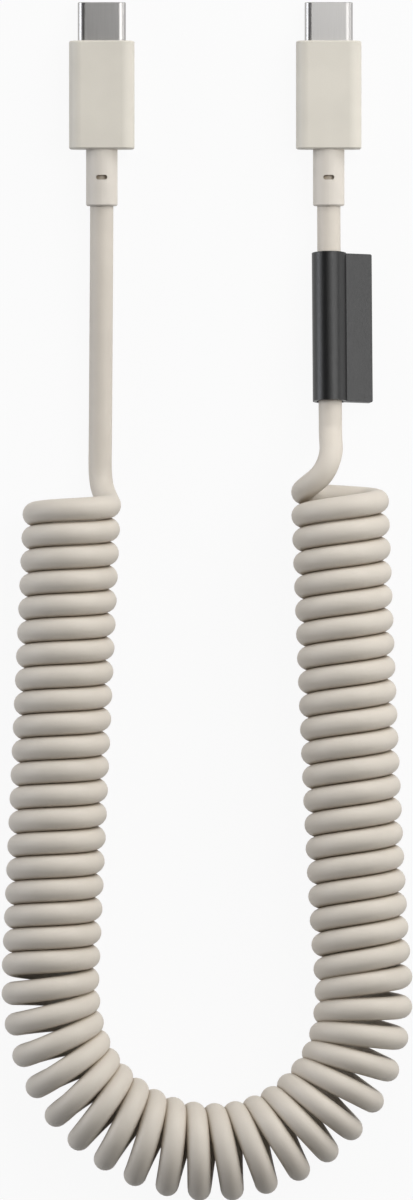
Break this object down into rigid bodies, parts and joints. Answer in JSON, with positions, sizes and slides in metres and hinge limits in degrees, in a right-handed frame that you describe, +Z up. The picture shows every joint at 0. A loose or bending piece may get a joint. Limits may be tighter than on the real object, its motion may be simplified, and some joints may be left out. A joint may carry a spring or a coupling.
{
  "type": "usb-c cable",
  "caption": "Curly charging cable bent into a U, with a reversible oblong metal plug at each end and a black wrap that slides along one straight lead.",
  "frame": {"origin": "on the surface the cable lies on, midway between the two plugs and at the middle of their length", "axes": "+X from the left plug to the right plug, +Y towards the plugs' tips, +Z up from the surface"},
  "size_m": [0.0703, 0.2049, 0.0168],
  "materials": {
    "shell_metal": "satin nickel plate",
    "housing_plastic": "fine matt moulding",
    "sleeve_plastic": "fine matt moulding",
    "carrier_plastic": "satin",
    "contact_metal": "gold plate",
    "spring_steel": "bright sheet",
    "board": "green solder mask",
    "chip": "moulded package",
    "wire_cover": "smooth insulation",
    "cord_cover": "matt soft-touch sheath",
    "wrap_rubber": "satin"
  },
  "bodies": {
    "cable": {"left_plug_shell": "shell_metal", "left_plug_housing": "housing_plastic", "left_strain_relief": "sleeve_plastic", "left_contact_carrier": "carrier_plastic", "left_upper_contacts": "contact_metal", "left_lower_contacts": "contact_metal", "left_latch_spring": "spring_steel", "left_ground_springs": "spring_steel", "left_paddle_board": "board", "left_shield_can": "spring_steel", "left_plug_wires": "wire_cover", "right_plug_shell": "shell_metal", "right_plug_housing": "housing_plastic", "right_strain_relief": "sleeve_plastic", "right_contact_carrier": "carrier_plastic", "right_upper_contacts": "contact_metal", "right_lower_contacts": "contact_metal", "right_latch_spring": "spring_steel", "right_ground_springs": "spring_steel", "right_paddle_board": "board", "right_marker_chip": "chip", "right_shield_can": "spring_steel", "right_plug_wires": "wire_cover", "left_lead": "cord_cover", "coil": "cord_cover", "right_lead": "cord_cover"},
    "wrap": {"cable_wrap": "wrap_rubber"}
  },
  "joints": [
    {"name": "wrap_slide", "type": "slide", "parent": "cable", "child": "wrap", "axis": [-0.006, 0.9936, -0.1124], "range_m": [-0.0045, 0.006]}
  ]
}
